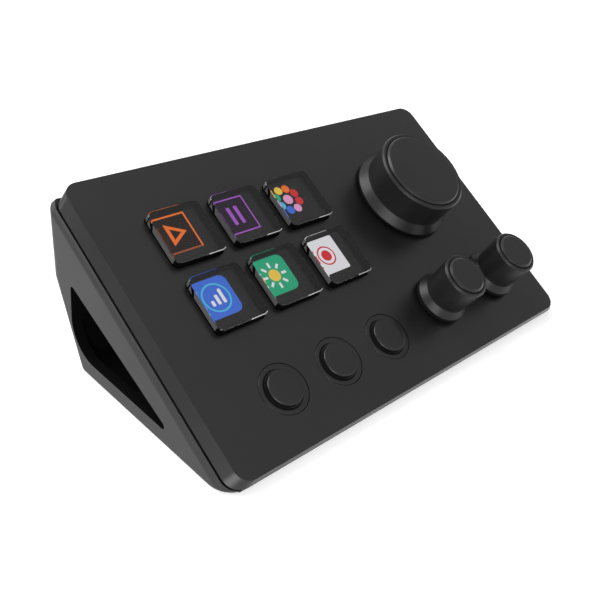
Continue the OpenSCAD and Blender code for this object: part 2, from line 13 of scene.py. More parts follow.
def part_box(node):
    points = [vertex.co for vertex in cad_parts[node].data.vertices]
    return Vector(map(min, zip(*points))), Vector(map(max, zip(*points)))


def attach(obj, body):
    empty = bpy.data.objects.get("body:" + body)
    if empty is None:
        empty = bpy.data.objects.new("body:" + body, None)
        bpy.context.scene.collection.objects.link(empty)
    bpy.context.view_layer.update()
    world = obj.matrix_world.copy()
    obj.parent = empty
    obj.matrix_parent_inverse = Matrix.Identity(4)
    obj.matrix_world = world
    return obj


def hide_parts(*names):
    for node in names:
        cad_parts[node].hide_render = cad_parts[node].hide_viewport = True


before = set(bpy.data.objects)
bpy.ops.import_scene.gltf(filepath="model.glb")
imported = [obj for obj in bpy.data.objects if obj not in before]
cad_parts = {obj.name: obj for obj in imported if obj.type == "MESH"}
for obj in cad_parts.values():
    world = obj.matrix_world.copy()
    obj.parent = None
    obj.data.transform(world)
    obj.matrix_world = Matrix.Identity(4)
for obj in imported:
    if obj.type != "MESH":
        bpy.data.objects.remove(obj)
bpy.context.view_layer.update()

MM = 0.001
IN_METRES = Matrix.Scale(MM, 4)

# ---------------------------------------------------------------- sizes repeated from the part

FACE_WIDTH = 116.0
FACE_LENGTH = 73.4
FACE_TILT = 30.0
HALF_WIDTH = 61.0
HALF_DEPTH = 32.49963
FRONT_HEIGHT = 3.3
COVER_THICK = 2.0
JOINT_HEIGHT = 0.55


def across_face(share):
    """X of a place given as a share of the face's width, counted from its left edge."""
    return (share - 0.5) * FACE_WIDTH


KEYS_AND_BUTTONS = across_face(0.323)

KEY_MIDDLE = (KEYS_AND_BUTTONS, 0.6146 * FACE_LENGTH)
KEY_PITCH = (17.2, 17.5)
KEY_HALF = 6.95
KEY_CORNER = 1.3
KEY_HEIGHT = 2.0
KEY_RIM = 0.5
KEY_RIM_THICK = 0.55
MAT_TOP = -3.3

BUTTON_MIDDLE = (KEYS_AND_BUTTONS, 13.3)
BUTTON_PITCH = 16.9
BUTTON_R = 5.93
BUTTON_DISC_R = 4.25
BUTTON_DISC_H = 0.95
BUTTON_RIM = 0.5
BUTTON_RIM_THICK = 0.5
BUTTON_TRAVEL = 0.5
SWITCH_GAP = 0.8
STEM_R = 1.5
STEM_IN_SWITCH = 0.9

SMALL_KNOB_V = 15.7
SMALL_KNOB = dict(skirt=7.0, grip=5.7, top=12.1, edge=1.9, foot=3.6, rim=0.7, bevel=1.0, steps=112)
KNOBS = {
    "large": dict(at=(across_face(0.7632), 0.6295 * FACE_LENGTH), skirt=13.6, grip=12.0,
                  top=11.5, edge=1.4, foot=3.6, rim=0.9, bevel=0.9, steps=160),
    "left": dict(at=(across_face(0.66), SMALL_KNOB_V), **SMALL_KNOB),
    "right": dict(at=(across_face(0.852), SMALL_KNOB_V), **SMALL_KNOB),
}
KNOB_GAP = 0.7
GRIP_FLARE = 0.35
CAP_GROOVE = 0.35
CAP_RISE = 0.6
CAP_THICK = 1.6
CAP_BEVEL_H = 0.4
BUSH_R = 3.4
BUSH_CLEAR = 0.4
HUB_LOW = 1.4
SHAFT_R = 2.0
SHAFT_ROOF = 1.0
FOOT_R = 3.55

# ---------------------------------------------------------------- sizes of details for the eye

# A key's walls are masked black. Above its sill the left wall is painted lighter, as if lit, and
# below it the wall stays dark as a painted shadow line. Its facets, of painted light and painted
# shade, lie between the cuts, counted from its rear, and its front edge carries a painted glint
# from a little right of its middle.
KEY_EDGE = 0.16
KEY_CORNER_STEPS = 2
KEY_SILL = 0.28
KEY_FACET_CUTS = (1.75, 3.2, 4.1)
PAINTED_GLINT_FROM = 1.6
BUTTON_MOAT = 0.22
BUTTON_STEPS = 112
CAP_GROOVE_DEEP = 0.28
RIM_BEVEL = (0.37, 0.46)
PICTURE_AT = (-0.79, 1.76)
PICTURE_HALF = 4.85
PICTURE_THICK = 0.03
PICTURE_SUNK = 0.02
FIELD_STEP = 0.01
FRAME_OVERHANG = 0.55
FILM_HALF = 6.9
FILM_CORNER = 0.8
FILM_THICK = 0.04

# ---------------------------------------------------------------- the frame of the sloping face

TILT_COS = math.cos(math.radians(FACE_TILT))
TILT_SIN = math.sin(math.radians(FACE_TILT))
FACE = IN_METRES @ Matrix((
    (1, 0, 0, 0),
    (0, TILT_COS, -TILT_SIN, -HALF_DEPTH),
    (0, TILT_SIN, TILT_COS, FRONT_HEIGHT),
    (0, 0, 0, 1)))
FACE_RIGHT = Vector((1, 0, 0))
FACE_OUT = Vector((0, -TILT_SIN, TILT_COS))

# ---------------------------------------------------------------- materials

CLOUD_SCALE = 90.0
LINE_SCALE = 2500.0
SMUDGE_SCALE = 260.0
DISPLAY_ROW_SCALE = 4000.0
NOISE_SPAN = (0.3, 0.7)
TINT_SPAN = (0.35, 0.65)
MOULDED_TINT = 0.06
MOULDED_GLOSS = 0.03
METAL_TINT = 0.08
METAL_GLOSS = (0.06, 0.08)
SMUDGE_SHARE = (0.7, 1.3)
DISPLAY_ROW_DIP = 0.93


def grey(level):
    """A neutral colour."""
    return (level, level, level)


def set_inputs(node, values):
    """Sets sockets of a node by their names."""
    for name, value in values.items():
        node.inputs[name].default_value = value


def new_material(name):
    """A new material with its nodes, its links and its shader."""
    material = bpy.data.materials.new(name)
    material.use_nodes = True
    nodes = material.node_tree.nodes
    shader = next(node for node in nodes if node.type == "BSDF_PRINCIPLED")
    return material, nodes, material.node_tree.links, shader


def object_noise(nodes, links, scale, detail=2.0, stretch=(1, 1, 1)):
    """A noise on the piece's own coordinates; an axis with a stretch under 1 draws it out."""
    coord = nodes.new("ShaderNodeTexCoord")
    mapping = nodes.new("ShaderNodeMapping")
    set_inputs(mapping, {"Scale": stretch})
    noise = nodes.new("ShaderNodeTexNoise")
    set_inputs(noise, {"Scale": scale, "Detail": detail})
    links.new(coord.outputs["Object"], mapping.inputs["Vector"])
    links.new(mapping.outputs["Vector"], noise.inputs["Vector"])
    return noise.outputs["Fac"]


def spread(nodes, links, source, low, high):
    """A value between low and high that follows the span in which a noise mostly lies."""
    ranged = nodes.new("ShaderNodeMapRange")
    set_inputs(ranged, {"From Min": NOISE_SPAN[0], "From Max": NOISE_SPAN[1],
                        "To Min": low, "To Max": high})
    links.new(source, ranged.inputs["Value"])
    return ranged.outputs["Result"]


def tinted(nodes, links, shader, source, colour, change):
    """The colour, a little darker and a little lighter with a noise."""
    ramp = nodes.new("ShaderNodeValToRGB")
    dark, light = ramp.color_ramp.elements
    dark.position, light.position = TINT_SPAN
    dark.color = [level * (1 - change) for level in colour] + [1]
    light.color = [min(1, level * (1 + change)) for level in colour] + [1]
    links.new(source, ramp.inputs["Fac"])
    links.new(ramp.outputs["Color"], shader.inputs["Base Color"])


def grain_bump(nodes, links, shader, source, height, strength):
    """A fine relief of the given height."""
    bump = nodes.new("ShaderNodeBump")
    set_inputs(bump, {"Distance": height * MM, "Strength": strength})
    links.new(source, bump.inputs["Height"])
    links.new(bump.outputs["Normal"], shader.inputs["Normal"])


def moulded(name, colour, rough, specular, grain=0.25, height=0.01, strength=0.25, sheen=0.0):
    """Moulded plastic or rubber: a fine grain, with cloudy colour and gloss."""
    material, nodes, links, shader = new_material(name)
    cloud = object_noise(nodes, links, CLOUD_SCALE)
    fine = object_noise(nodes, links, 1 / (grain * MM), 3.0)
    tinted(nodes, links, shader, cloud, colour, MOULDED_TINT)
    links.new(spread(nodes, links, cloud, rough - MOULDED_GLOSS, rough + MOULDED_GLOSS),
              shader.inputs["Roughness"])
    grain_bump(nodes, links, shader, fine, height, strength)
    set_inputs(shader, {"Specular IOR Level": specular})
    if sheen:
        set_inputs(shader, {"Sheen Weight": sheen, "Sheen Roughness": 0.5})
    return material


def metal(name, colour, rough, stretch=(1, 1, 1)):
    """Drawn, turned or plated metal; its fine lines run along the axis that is drawn out."""
    material, nodes, links, shader = new_material(name)
    lines = object_noise(nodes, links, LINE_SCALE, 2.0, stretch)
    tinted(nodes, links, shader, lines, colour, METAL_TINT)
    links.new(spread(nodes, links, lines, rough - METAL_GLOSS[0], rough + METAL_GLOSS[1]),
              shader.inputs["Roughness"])
    grain_bump(nodes, links, shader, lines, 0.003, 0.3)
    set_inputs(shader, {"Metallic": 1.0})
    return material


def clear_plastic(name, colour, rough, index):
    """Clear moulded plastic with faint smudges."""
    material, nodes, links, shader = new_material(name)
    smudge = object_noise(nodes, links, SMUDGE_SCALE, 3.0)
    set_inputs(shader, {"Base Color": (*colour, 1), "Transmission Weight": 1.0, "IOR": index})
    clean, smudged = [rough * share for share in SMUDGE_SHARE]
    links.new(spread(nodes, links, smudge, clean, smudged), shader.inputs["Roughness"])
    return material


def lit(name, colour):
    """A lit area of the display, with its fine rows of picture elements."""
    material, nodes, links, shader = new_material(name)
    coord = nodes.new("ShaderNodeTexCoord")
    rows = nodes.new("ShaderNodeTexWave")
    rows.bands_direction = "X"
    set_inputs(rows, {"Scale": DISPLAY_ROW_SCALE})
    links.new(coord.outputs["Object"], rows.inputs["Vector"])
    ramp = nodes.new("ShaderNodeValToRGB")
    between, row = ramp.color_ramp.elements
    between.color = [level * DISPLAY_ROW_DIP for level in colour] + [1]
    row.color = [*colour, 1]
    links.new(rows.outputs["Fac"], ramp.inputs["Fac"])
    links.new(ramp.outputs["Color"], shader.inputs["Emission Color"])
    set_inputs(shader, {"Base Color": (*grey(0.003), 1), "Emission Strength": 1.0,
                        "Roughness": 0.6, "Specular IOR Level": 0.1})
    return material


SMOOTH = dict(grain=0.2, height=0.004, strength=0.12)
WALL_FINISH = dict(grain=0.2, height=0.003, strength=0.1)
CLEAR_TINT = (0.62, 0.62, 0.63)

FACE_BLACK = moulded("face_black_plastic", grey(0.005), rough=0.31, specular=0.44,
                     grain=0.3, height=0.004, strength=0.12)
HOUSING_BLACK = moulded("housing_black_plastic", grey(0.019), rough=0.48, specular=0.34,
                        grain=0.4, height=0.006, strength=0.15)
# Near black and dull, for the faces deep in the side hollows: painted shade.
HOLLOW_PAINTED_SHADE = moulded("hollow_plastic_painted_shade", grey(0.002), rough=0.65, specular=0.05,
                       grain=0.5, height=0.02, strength=0.3)
BUTTON_BLACK = moulded("button_black_plastic", grey(0.005), rough=0.30, specular=0.42, **SMOOTH)
# Darker and duller than the knob and button plastic: painted shade on the knob skirts' upright
# walls and around the buttons' discs.
PAINTED_SHADE_WALL = moulded("black_plastic_painted_shade", grey(0.004), rough=0.55, specular=0.10, **SMOOTH)
KNOB_BLACK = moulded("knob_black_plastic", grey(0.010), rough=0.36, specular=0.25, **SMOOTH)
CAP_BLACK = moulded("knob_cap_black_plastic", grey(0.005), rough=0.31, specular=0.40, **SMOOTH)
CHIP_BLACK = moulded("chip_black_resin", grey(0.02), rough=0.5, specular=0.4, grain=0.15)
SWITCH_GREY = moulded("switch_grey_plastic", (0.12, 0.12, 0.125), rough=0.5, specular=0.4)
BOARD_GREEN = moulded("board_green_lacquer", (0.02, 0.11, 0.05), rough=0.3, specular=0.5,
                      grain=0.6, height=0.01, strength=0.2)
MAT_RUBBER = moulded("mat_black_rubber", grey(0.006), rough=0.75, specular=0.2,
                     grain=0.2, height=0.02, strength=0.4, sheen=0.1)
FOOT_RUBBER = moulded("foot_black_rubber", grey(0.02), rough=0.8, specular=0.3,
                      grain=0.3, height=0.03, strength=0.5, sheen=0.2)
INLET_BLACK = moulded("inlet_black_plastic", grey(0.015), rough=0.4, specular=0.4)
KEY_CLEAR = clear_plastic("polished_clear_plastic", CLEAR_TINT, rough=0.012, index=1.40)
KEY_COATED = clear_plastic("coated_clear_plastic", CLEAR_TINT, rough=0.012, index=1.10)
# The walls of the keys: the mask is black paint, and at the foot of the left walls and on half of
# each corner facet it is painted shade; the lighter satin on the left walls stands in for the
# light falling on them and is painted light.
KEY_MASK_AND_SHADE = moulded("masked_key_wall_painted_shade", grey(0.002), rough=0.60, specular=0.02, **WALL_FINISH)
KEY_SATIN_PAINTED_LIGHT = moulded("satin_key_wall_painted_light", (0.08, 0.08, 0.081), rough=0.42, specular=0.30,
                    **WALL_FINISH)
# A near white colour on the right part of each key's front edge: a painted glint.
KEY_PAINTED_GLINT = moulded("painted_glint_edge", (0.45, 0.45, 0.46), rough=0.20, specular=0.50,
                    grain=0.3, height=0.01, strength=0.3)
SHAFT_METAL = metal("turned_shaft_metal", (0.72, 0.72, 0.74), rough=0.28, stretch=(0.2, 1, 1))
INLET_STEEL = metal("drawn_inlet_steel", (0.62, 0.62, 0.64), rough=0.30, stretch=(1, 0.1, 1))
SCREW_STEEL = metal("plated_screw_steel", (0.6, 0.6, 0.62), rough=0.32)
CONTACT_GOLD = metal("contact_gold", (0.83, 0.6, 0.26), rough=0.25, stretch=(1, 0.1, 1))

ORANGE = lit("lit_orange", (1.15, 0.22, 0.02))
DIM_ORANGE = lit("lit_dim_orange", (0.012, 0.003, 0.0))
FADED_ORANGE = lit("lit_faded_orange", (0.42, 0.10, 0.035))
VIOLET = lit("lit_violet", (0.48, 0.12, 0.72))
DIM_VIOLET = lit("lit_dim_violet", (0.016, 0.004, 0.020))
BLUE = lit("lit_blue", (0.06, 0.20, 0.88))
GREEN = lit("lit_green", (0.02, 0.50, 0.25))
# The display's black glows faintly. This is partly the dim glow of a lit display's black and
# partly painted light, standing in for the light that would reach it through the clear keys.
DISPLAY_BLACK_PAINTED_GLOW = lit("display_black_film_painted_glow", grey(0.018))
WHITE = lit("lit_white", (1.05, 1.05, 1.08))
ROSE = lit("lit_rose", (1.0, 0.45, 0.75))
YELLOW = lit("lit_yellow", (1.1, 0.75, 0.10))
RED = lit("lit_red", (0.85, 0.03, 0.04))
CYAN = lit("lit_cyan", (0.10, 0.62, 0.95))

# ---------------------------------------------------------------- mesh tools

ON_AXIS = 1e-6
FILLET_SHARE = 0.48
CIRCLE_STEPS = 48
CORNERS = ((1, -1, -90), (1, 1, 0), (-1, 1, 90), (-1, -1, 180))


def new_object(name, data):
    """Puts data into the scene as an object at the origin."""
    made = bpy.data.objects.new(name, data)
    bpy.context.scene.collection.objects.link(made)
    return made


def smooth_mesh(name, shape, materials, sharp, place=None):
    """Turns a worked shape into a smooth mesh; edges over the sharp angle stay crisp."""
    mesh = bpy.data.meshes.new(name)
    shape.to_mesh(mesh)
    shape.free()
    if place:
        mesh.transform(place)
    for material in materials:
        mesh.materials.append(material)
    for face in mesh.polygons:
        face.use_smooth = True
    mesh.set_sharp_from_angle(angle=math.radians(sharp))
    return mesh


def make_piece(name, shape, materials, body, sharp, node=None, place=FACE):
    """Finishes a shape, puts it in place and lets it ride on its body."""
    bmesh.ops.recalc_face_normals(shape, faces=shape.faces[:])
    piece = new_object(name, smooth_mesh(name, shape, materials, sharp, place))
    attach(piece, body)
    if node:
        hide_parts(node)


def rounded(profile, steps=5):
    """The points of a profile of (radius, height, fillet) corners, each fillet a smooth curve."""
    points = []
    for i, (radius, height, fillet) in enumerate(profile):
        if not fillet:
            points.append((radius, height))
            continue
        corner = Vector((radius, height))
        before = Vector(profile[i - 1][:2]) - corner
        after = Vector(profile[i + 1][:2]) - corner
        reach = min(fillet, before.length * FILLET_SHARE, after.length * FILLET_SHARE)
        start = corner + before.normalized() * reach
        end = corner + after.normalized() * reach
        for k in range(steps + 1):
            t = k / steps
            point = start * (1 - t) ** 2 + corner * 2 * t * (1 - t) + end * t ** 2
            points.append((point.x, point.y))
    return points


def next_round(ring):
    """The ring's points, each one moved on to its neighbour."""
    return ring[1:] + ring[:1]


def band(shape, low, high):
    """The faces between two rings of as many points."""
    return [shape.faces.new(corners)
            for corners in zip(low, next_round(low), next_round(high), high)]


def turned(shape, profile, at, steps):
    """Turns a profile that starts and ends on the axis into a closed skin."""
    rings = []
    for radius, height in profile:
        if radius < ON_AXIS:
            rings.append([shape.verts.new((at[0], at[1], height))])
        else:
            rings.append([
                shape.verts.new((at[0] + radius * math.cos(2 * math.pi * k / steps),
                                 at[1] + radius * math.sin(2 * math.pi * k / steps), height))
                for k in range(steps)])
    for low, high in zip(rings, rings[1:]):
        if len(low) == 1:
            for here, beside in zip(high, next_round(high)):
                shape.faces.new((low[0], beside, here))
        elif len(high) == 1:
            for here, beside in zip(low, next_round(low)):
                shape.faces.new((here, beside, high[0]))
        else:
            band(shape, low, high)


def square(half):
    """The corners of a square."""
    return [(side_x * half, side_y * half) for side_x, side_y, _ in CORNERS]


def soft_square(half, corner, at=(0, 0), steps=7):
    """The outline of a rectangle with round corners."""
    points = []
    for side_x, side_y, start in CORNERS:
        for k in range(steps + 1):
            angle = math.radians(start + 90 * k / steps)
            points.append((at[0] + side_x * (half[0] - corner) + corner * math.cos(angle),
                           at[1] + side_y * (half[1] - corner) + corner * math.sin(angle)))
    return points


def circle(radius, at=(0, 0)):
    """The outline of a round spot."""
    return [(at[0] + radius * math.cos(2 * math.pi * k / CIRCLE_STEPS),
             at[1] + radius * math.sin(2 * math.pi * k / CIRCLE_STEPS))
            for k in range(CIRCLE_STEPS)]


def stacked(shape, levels, at, steps):
    """Joins soft squares of (half width, corner radius, height) into a closed block."""
    rings = [[shape.verts.new((x, y, height))
              for x, y in soft_square((half, half), corner, at, steps)]
             for half, corner, height in levels]
    for low, high in zip(rings, rings[1:]):
        band(shape, low, high)
    shape.faces.new(rings[0][::-1])
    shape.faces.new(rings[-1])


def flat_shape(shape, outline, low, high, slot):
    """A thin plate with the given outline, for one colour of a picture."""
    lower = [shape.verts.new((x, y, low)) for x, y in outline]
    upper = [shape.verts.new((x, y, high)) for x, y in outline]
    faces = [shape.faces.new(upper), shape.faces.new(lower[::-1])]
    for face in faces + band(shape, lower, upper):
        face.material_index = slot


def ring_shape(shape, inner, outer, low, high, slot):
    """A thin frame between two outlines of as many points."""
    rows = [[shape.verts.new((x, y, height)) for x, y in outline]
            for outline, height in ((outer, low), (outer, high), (inner, high), (inner, low))]
    for row, beside in zip(rows, next_round(rows)):
        for face in band(shape, row, beside):
            face.material_index = slot


# ---------------------------------------------------------------- knobs and buttons


def paint_shade_on_walls(shape, at, is_shaded):
    """Gives the second, darker and duller material to the faces that the rule picks by radius and
    height: painted shade where shade falls on walls and in hollows.
    """
    for face in shape.faces:
        middle = face.calc_center_median()
        reach = math.hypot(middle.x - at[0], middle.y - at[1])
        face.material_index = int(is_shaded(reach, middle.z))


def build_knob_shell(which, spec, top_r, seat, floor):
    """The skirt, the flared grip and the rim, with the bore for the shaft below; the skirt's
    upright wall carries painted shade.
    """
    at, skirt, grip, top, edge = [spec[name] for name in ("at", "skirt", "grip", "top", "edge")]
    profile = [
        (0, floor - SHAFT_ROOF, 0), (SHAFT_R, floor - SHAFT_ROOF, 0), (SHAFT_R, HUB_LOW, 0.1),
        (BUSH_R + BUSH_CLEAR, HUB_LOW, 0.15), (BUSH_R + BUSH_CLEAR, KNOB_GAP, 0.12),
        (skirt, KNOB_GAP, 0.18), (skirt, edge, 0.16), (grip + 0.02, spec["foot"], 0.22),
        (top_r, top - RIM_BEVEL[1], 0.06), (top_r - RIM_BEVEL[0], top, 0.08),
        (top_r - spec["rim"], top, 0.06), (seat, top - CAP_GROOVE_DEEP, 0), (seat, floor, 0),
        (0, floor, 0)]
    shape = bmesh.new()
    turned(shape, rounded(profile), at, spec["steps"])
    paint_shade_on_walls(shape, at, lambda reach, height: reach > skirt - 0.3 and height < edge - 0.08)
    make_piece(which + "_knob_shell", shape, [KNOB_BLACK, PAINTED_SHADE_WALL], which + "_knob_body",
               sharp=30.0, node=which + "_knob")


def build_knob_inset(which, spec, seat, floor):
    """The cap that sits in the shell's rim, with a bevel around its top."""
    bevel = spec["bevel"]
    crown = spec["top"] + CAP_RISE
    profile = [
        (0, floor, 0), (seat, floor, 0), (seat, crown - CAP_BEVEL_H - 0.12, 0.05),
        (seat - 0.55 * bevel, crown - 0.04, 0.06), (seat - bevel, crown, 0.3),
        (seat * 0.5, crown, 0), (0, crown, 0)]
    shape = bmesh.new()
    turned(shape, rounded(profile), spec["at"], spec["steps"])
    make_piece(which + "_knob_inset", shape, [CAP_BLACK], which + "_knob_body",
               sharp=35.0, node=which + "_knob_cap")


def build_button(i):
    """A round button: its stem and rim below, a shallow trough, and the raised disc; the disc's
    wall and the inner floor of the trough carry painted shade.
    """
    at = (BUTTON_MIDDLE[0] + (i - 1) * BUTTON_PITCH, BUTTON_MIDDLE[1])
    stem_end = -(COVER_THICK + BUTTON_TRAVEL + SWITCH_GAP) - STEM_IN_SWITCH
    rim_low = -COVER_THICK - BUTTON_RIM_THICK
    rim_r = BUTTON_R + BUTTON_RIM
    disc = BUTTON_DISC_R
    profile = [
        (0, stem_end, 0), (STEM_R, stem_end, 0.1), (STEM_R, rim_low, 0.1), (rim_r, rim_low, 0.1),
        (rim_r, -COVER_THICK, 0), (BUTTON_R, -COVER_THICK, 0.05), (BUTTON_R, 0, 0.16),
        (disc + 0.7, 0, 0.12), (disc + 0.3, -BUTTON_MOAT, 0.1), (disc + 0.02, -BUTTON_MOAT, 0.05),
        (disc - 0.04, BUTTON_DISC_H, 0.36), (disc * 0.5, BUTTON_DISC_H, 0), (0, BUTTON_DISC_H, 0)]
    shape = bmesh.new()
    turned(shape, rounded(profile), at, BUTTON_STEPS)
    paint_shade_on_walls(shape, at, lambda reach, height: (
        reach < disc + 0.1 and -BUTTON_MOAT - 0.1 < height < BUTTON_DISC_H - 0.28))
    make_piece("round_button_%d" % (i + 1), shape, [BUTTON_BLACK, PAINTED_SHADE_WALL],
               "push_button_%d_body" % (i + 1), sharp=35.0, node="push_button_%d" % (i + 1))


for which, spec in KNOBS.items():
    grip_top_r = spec["grip"] + GRIP_FLARE
    cap_seat = grip_top_r - spec["rim"] - CAP_GROOVE
    cap_floor = spec["top"] - CAP_THICK
    build_knob_shell(which, spec, grip_top_r, cap_seat, cap_floor)
    build_knob_inset(which, spec, cap_seat, cap_floor)
for i in range(3):
    build_button(i)

# ---------------------------------------------------------------- keys and their pictures

# The materials of a key, in the order in which it carries them; a face is clear unless it is given
# another one.
CLEAR, MASK_AND_SHADE, PAINTED_LIGHT, PAINTED_GLINT, COATED = range(5)


def key_place(i):
    """The middle of a key in the two rows of three."""
    return (KEY_MIDDLE[0] + (i % 3 - 1) * KEY_PITCH[0],
            KEY_MIDDLE[1] + (0.5 - i // 3) * KEY_PITCH[1])


def facet_wall(face, painted_light_side):
    """Cuts a wall face from corner to corner; its front or its rear half gets the lighter satin as
    painted light, and the other half gets the mask as painted shade.
    """
    low = sorted(face.verts, key=lambda vert: vert.co.z)[:2]
    high = [vert for vert in face.verts if vert not in low]
    low.sort(key=lambda vert: vert.co.y)
    high.sort(key=lambda vert: vert.co.y)
    other = bmesh.utils.face_split(face, low[0], high[1])[0]
    front, rear = sorted((face, other), key=lambda half: half.calc_center_median().y)
    front.material_index = PAINTED_LIGHT if painted_light_side == "front" else MASK_AND_SHADE
    rear.material_index = PAINTED_LIGHT if painted_light_side == "rear" else MASK_AND_SHADE


def shade_key_wall(face, behind):
    """Masks a wall; above the sill the left wall is satin painted lighter, as if lit, with facets
    of painted light and shade near its rear corner.
    """
    face.material_index = MASK_AND_SHADE
    middle = face.calc_center_median()
    # Below the sill the left wall keeps the mask as a painted shadow line.
    if middle.z < KEY_SILL or face.normal.x > -0.3 or face.normal.y < -0.1:
        return
    first, second, third = KEY_FACET_CUTS
    if face.normal.x > -0.99 or behind > third:
        face.material_index = PAINTED_LIGHT
    elif behind > second:
        facet_wall(face, "front")
    elif behind > first:
        facet_wall(face, "rear")


def build_key(i):
    """A clear block with a polished top, masked walls, a left wall painted lighter as if lit,
    painted facets at its rear left corner and a painted glint on its front edge.
    """
    at = key_place(i)
    rim_low = -COVER_THICK - KEY_RIM_THICK
    edge_low = KEY_HEIGHT - KEY_EDGE
    levels = [
        (KEY_HALF + KEY_RIM, KEY_CORNER + KEY_RIM, rim_low),
        (KEY_HALF + KEY_RIM, KEY_CORNER + KEY_RIM, -COVER_THICK),
        (KEY_HALF, KEY_CORNER, -COVER_THICK),
        (KEY_HALF, KEY_CORNER, edge_low),
        (KEY_HALF - KEY_EDGE, KEY_CORNER - KEY_EDGE * 0.6, KEY_HEIGHT)]
    shape = bmesh.new()
    stacked(shape, levels, at, KEY_CORNER_STEPS)
    rear = at[1] + KEY_HALF
    painted_glint_from = at[0] + PAINTED_GLINT_FROM
    cuts = [((0, 0, KEY_SILL), (0, 0, 1)), ((painted_glint_from, 0, 0), (1, 0, 0))]
    cuts += [((0, rear - reach, 0), (0, 1, 0)) for reach in KEY_FACET_CUTS]
    for point, across in cuts:
        bmesh.ops.bisect_plane(shape, geom=shape.verts[:] + shape.edges[:] + shape.faces[:],
                               plane_co=point, plane_no=across, dist=1e-5)
    shape.normal_update()
    for face in shape.faces[:]:
        middle = face.calc_center_median()
        if abs(face.normal.z) < 0.1 and -COVER_THICK < middle.z < edge_low:
            shade_key_wall(face, rear - middle.y)
        # The front edge right of the glint line is painted bright: a painted glint.
        elif face.normal.y < -0.3 and middle.x > painted_glint_from and middle.z > edge_low:
            face.material_index = PAINTED_GLINT
        elif middle.z < rim_low + 0.01:
            face.material_index = COATED
    make_piece("clear_key_%d" % (i + 1), shape,
               [KEY_CLEAR, KEY_MASK_AND_SHADE, KEY_SATIN_PAINTED_LIGHT, KEY_PAINTED_GLINT, KEY_COATED],
               "display_key_%d_body" % (i + 1), sharp=25.0, node="display_key_%d" % (i + 1))


def thin_frame(shape, low, high, line, lower_slot=1):
    """A square frame of thin lines over a dim field, drawn out to the left."""
    outer, inner = square(PICTURE_HALF), square(PICTURE_HALF - line)
    for outline in (outer, inner):
        outline[2:] = [(x - FRAME_OVERHANG, y) for x, y in outline[2:]]
    ring_shape(shape, inner, outer, low, high, 1)
    for face in shape.faces:
        if face.calc_center_median().y < line / 2 - PICTURE_HALF + 0.01:
            face.material_index = lower_slot
    flat_shape(shape, inner, low, high - FIELD_STEP, 2)


def full_field(shape, low, high, corner):
    """A soft square that fills the picture."""
    flat_shape(shape, soft_square((PICTURE_HALF, PICTURE_HALF), corner), low, high - FIELD_STEP, 1)


def picture_play(shape, low, high):
    """A play mark in a frame."""
    thin_frame(shape, low, high, 0.42, lower_slot=3)
    outer = [(-1.9, -2.9), (3.0, 0), (-1.9, 2.9)]
    inner = [(-1.0, -1.45), (1.45, 0), (-1.0, 1.45)]
    ring_shape(shape, inner, outer, low, high, 1)


def picture_pause(shape, low, high):
    """A pause mark in a frame."""
    thin_frame(shape, low, high, 0.36)
    for x in (-0.9, 1.3):
        flat_shape(shape, soft_square((0.5, 2.5), 0.3, (x, 0)), low, high, 1)


def picture_palette(shape, low, high):
    """A ring of coloured dots around a larger one."""
    dots, colours, dot_r, ring_r, middle_r = 8, 7, 1.15, 3.2, 1.4
    for k in range(dots):
        angle = math.radians(360 / dots * (k + 0.5))
        dot_at = (ring_r * math.cos(angle), ring_r * math.sin(angle))
        flat_shape(shape, circle(dot_r, dot_at), low, high, 1 + k % colours)
    flat_shape(shape, circle(middle_r), low, high, colours)


def picture_steps(shape, low, high):
    """Three rising bars in a ring."""
    full_field(shape, low, high, 1.8)
    ring_shape(shape, circle(3.2), circle(3.65), low, high, 3)
    foot = -1.8
    for x, half in ((-1.5, 0.7), (0.0, 1.25), (1.5, 1.8)):
        flat_shape(shape, soft_square((0.42, half), 0.25, (x, half + foot)), low, high, 2)


def picture_sun(shape, low, high):
    """A sun with straight rays."""
    full_field(shape, low, high, 1.8)
    flat_shape(shape, circle(1.6), low, high, 2)
    rays, start, end, half = 8, 2.1, 3.5, 0.32
    ray = [(start, -half), (end, -half), (end, half), (start, half)]
    for k in range(rays):
        angle = math.radians(360 / rays * k)
        cos, sin = math.cos(angle), math.sin(angle)
        flat_shape(shape, [(x * cos - y * sin, x * sin + y * cos) for x, y in ray], low, high, 3)


def picture_record(shape, low, high):
    """A record mark: a spot in a ring."""
    full_field(shape, low, high, 0.5)
    ring_shape(shape, circle(2.3), circle(2.7), low, high, 2)
    flat_shape(shape, circle(1.5), low, high, 2)


PICTURES = [
    (picture_play, [ORANGE, DIM_ORANGE, FADED_ORANGE]),
    (picture_pause, [VIOLET, DIM_VIOLET]),
    (picture_palette, [RED, ORANGE, YELLOW, GREEN, CYAN, BLUE, ROSE]),
    (picture_steps, [BLUE, WHITE, CYAN]),
    (picture_sun, [GREEN, YELLOW, WHITE]),
    (picture_record, [WHITE, RED]),
]


def build_picture(i):
    """A dark film over the display under one key, with the lit picture in it; the film's faint
    glow is partly painted light.
    """
    draw, colours = PICTURES[i]
    film_top = MAT_TOP + FILM_THICK
    shape = bmesh.new()
    draw(shape, film_top - PICTURE_SUNK, film_top + PICTURE_THICK)
    bmesh.ops.translate(shape, vec=(*PICTURE_AT, 0), verts=shape.verts[:])
    stacked(shape, [(FILM_HALF, FILM_CORNER, MAT_TOP), (FILM_HALF, FILM_CORNER, film_top)],
            (0, 0), 4)
    bmesh.ops.translate(shape, vec=(*key_place(i), 0), verts=shape.verts[:])
    make_piece("display_picture_%d" % (i + 1), shape, [DISPLAY_BLACK_PAINTED_GLOW] + colours, "base",
               sharp=30.0)


for i in range(len(PICTURES)):
    build_key(i)
    build_picture(i)

# ---------------------------------------------------------------- shells with softened edges

